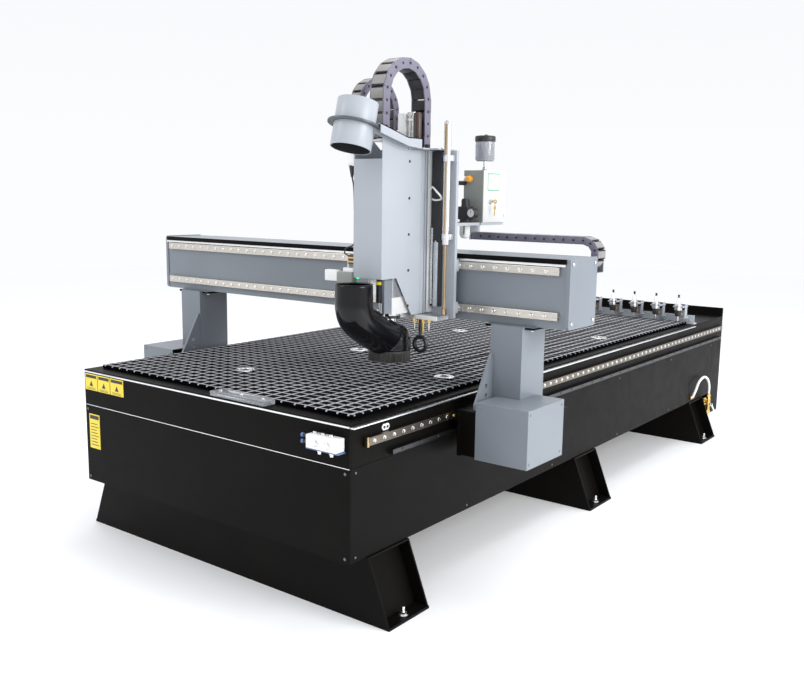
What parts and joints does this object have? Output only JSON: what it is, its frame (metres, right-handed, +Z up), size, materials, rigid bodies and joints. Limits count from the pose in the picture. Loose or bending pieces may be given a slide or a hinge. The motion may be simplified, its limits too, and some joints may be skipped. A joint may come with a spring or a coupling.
{
  "type": "gantry cnc router",
  "caption": "Free-standing gantry CNC router: a welded base with a grooved vacuum table, a beam that travels along it, and a head with spindle, dust hood and cable chains.",
  "frame": {"origin": "on the floor, under the middle of the machine", "axes": "+Z up, +Y along the table from the front panel to the tool rack, +X to the right as seen from the front"},
  "size_m": [2.516, 4.148, 2.2],
  "materials": {
    "black_paint": "satin black powder coat",
    "grey_paint": "light blue-grey fine texture powder coat",
    "dark_grey_paint": "grey fine texture powder coat",
    "light_grey_paint": "light grey powder coat",
    "phenolic": "machined black phenolic board",
    "rail_steel": "ground rail steel with a light oil film",
    "tool_steel": "ground tool steel",
    "anodised_aluminium": "satin anodised",
    "brass": "plain brass",
    "white_hose": "smooth white air hose",
    "white_plastic": "moulded white",
    "black_plastic": "moulded black",
    "chain_plastic": "fine grained moulded nylon",
    "gloss_black_plastic": "deep gloss black",
    "orange_plastic": "moulded orange",
    "clear_bowl": "clear bowl with a black cap",
    "bristle": "dense nylon bristle"
  },
  "bodies": {
    "base": {"leg_front": "black_paint", "leg_middle": "black_paint", "leg_rear": "black_paint", "lower_front_panel": "black_paint", "lower_side_panel_right": "black_paint", "lower_side_panel_left": "black_paint", "upper_front_panel": "black_paint", "rail_beam_right": "black_paint", "rail_beam_left": "black_paint", "rear_cabinet": "black_paint", "table_deck": "black_paint", "vacuum_plenum_left": "phenolic", "vacuum_plenum_right": "phenolic", "y_rail_right": "rail_steel", "y_rail_left": "rail_steel", "y_rack_right": "rail_steel", "y_rack_left": "rail_steel", "tool_rack": "grey_paint", "air_valve": "brass", "air_hose": "white_hose"},
    "gantry": {"y_truck_right": "black_paint", "y_truck_left": "black_paint", "foot_cover_right": "grey_paint", "foot_cover_left": "grey_paint", "upright_right": "grey_paint", "upright_left": "grey_paint", "beam": "grey_paint", "beam_end_plate_right": "grey_paint", "beam_end_plate_left": "grey_paint", "x_rail_top": "rail_steel", "x_rail_bottom": "rail_steel", "cable_tray": "grey_paint"},
    "x_carriage": {"carriage_plate": "grey_paint", "z_column": "anodised_aluminium", "vacuum_arm": "grey_paint", "counterbalance_body": "tool_steel", "control_box": "dark_grey_paint", "lubricator_cup": "clear_bowl", "filter_regulator": "black_plastic", "x_chain": "chain_plastic", "z_chain": "chain_plastic"},
    "z_slide": {"spindle_cover": "grey_paint", "z_slide_plate": "anodised_aluminium", "spindle_body": "anodised_aluminium", "dust_hood": "gloss_black_plastic", "dust_brush": "bristle", "counterbalance_rod": "tool_steel"},
    "spindle": {"spindle_nose": "tool_steel"},
    "right_pinion": {"y_pinion_right": "tool_steel"},
    "left_pinion": {"y_pinion_left": "tool_steel"},
    "box_door": {"control_box_door": "light_grey_paint"},
    "box_key": {"lock_key": "brass"},
    "box_knob": {"selector_knob": "orange_plastic"},
    "valve_lever": {"air_valve_handle": "white_plastic"},
    "tool_1": {"tool_holder_1": "tool_steel"},
    "tool_2": {"tool_holder_2": "tool_steel"},
    "tool_3": {"tool_holder_3": "tool_steel"},
    "tool_4": {"tool_holder_4": "tool_steel"},
    "tool_5": {"tool_holder_5": "tool_steel"}
  },
  "joints": [
    {"name": "gantry_y", "type": "slide", "parent": "base", "child": "gantry", "axis": [0, 1, 0], "range_m": [-0.5, 2.6]},
    {"name": "carriage_x", "type": "slide", "parent": "gantry", "child": "x_carriage", "axis": [1, 0, 0], "range_m": [-1.3, 0.2], "deforming": ["x_chain"]},
    {"name": "slide_z", "type": "slide", "parent": "x_carriage", "child": "z_slide", "axis": [0, 0, 1], "range_m": [-0.105, 0], "deforming": ["z_chain"]},
    {"name": "spindle_spin", "type": "hinge", "parent": "z_slide", "child": "spindle", "pos_m": [0.542, -1.484, 1.05], "axis": [0, 0, 1], "continuous": true},
    {"name": "right_pinion_roll", "type": "hinge", "parent": "gantry", "child": "right_pinion", "pos_m": [0.837, -1.2975, 0.6285], "axis": [1, 0, 0], "range_deg": [-1427, 7297]},
    {"name": "left_pinion_roll", "type": "hinge", "parent": "gantry", "child": "left_pinion", "pos_m": [-0.837, -1.2975, 0.6285], "axis": [1, 0, 0], "range_deg": [-1427, 7297]},
    {"name": "box_door_hinge", "type": "hinge", "parent": "x_carriage", "child": "box_door", "pos_m": [0.7515, -0.914, 1.64], "axis": [0, 0, 1], "range_deg": [0, 110]},
    {"name": "key_turn", "type": "hinge", "parent": "box_door", "child": "box_key", "pos_m": [0.75, -1.039, 1.615], "axis": [1, 0, 0], "range_deg": [0, 90]},
    {"name": "knob_turn", "type": "hinge", "parent": "x_carriage", "child": "box_knob", "pos_m": [0.68, -1.107, 1.712], "axis": [0, -1, 0], "range_deg": [-45, 45]},
    {"name": "valve_lever_turn", "type": "hinge", "parent": "base", "child": "valve_lever", "pos_m": [0.883, 1.761, 0.218], "axis": [1, 0, 0], "range_deg": [0, 90]},
    {"name": "tool_1_release", "type": "slide", "parent": "base", "child": "tool_1", "axis": [0, -1, 0], "range_m": [0, 0.09]},
    {"name": "tool_2_release", "type": "slide", "parent": "base", "child": "tool_2", "axis": [0, -1, 0], "range_m": [0, 0.09]},
    {"name": "tool_3_release", "type": "slide", "parent": "base", "child": "tool_3", "axis": [0, -1, 0], "range_m": [0, 0.09]},
    {"name": "tool_4_release", "type": "slide", "parent": "base", "child": "tool_4", "axis": [0, -1, 0], "range_m": [0, 0.09]},
    {"name": "tool_5_release", "type": "slide", "parent": "base", "child": "tool_5", "axis": [0, -1, 0], "range_m": [0, 0.09]}
  ],
  "couplings": [
    {"joint": "right_pinion_roll", "follows": "gantry_y", "rad_per_m": 48.781},
    {"joint": "left_pinion_roll", "follows": "gantry_y", "rad_per_m": 48.781}
  ]
}
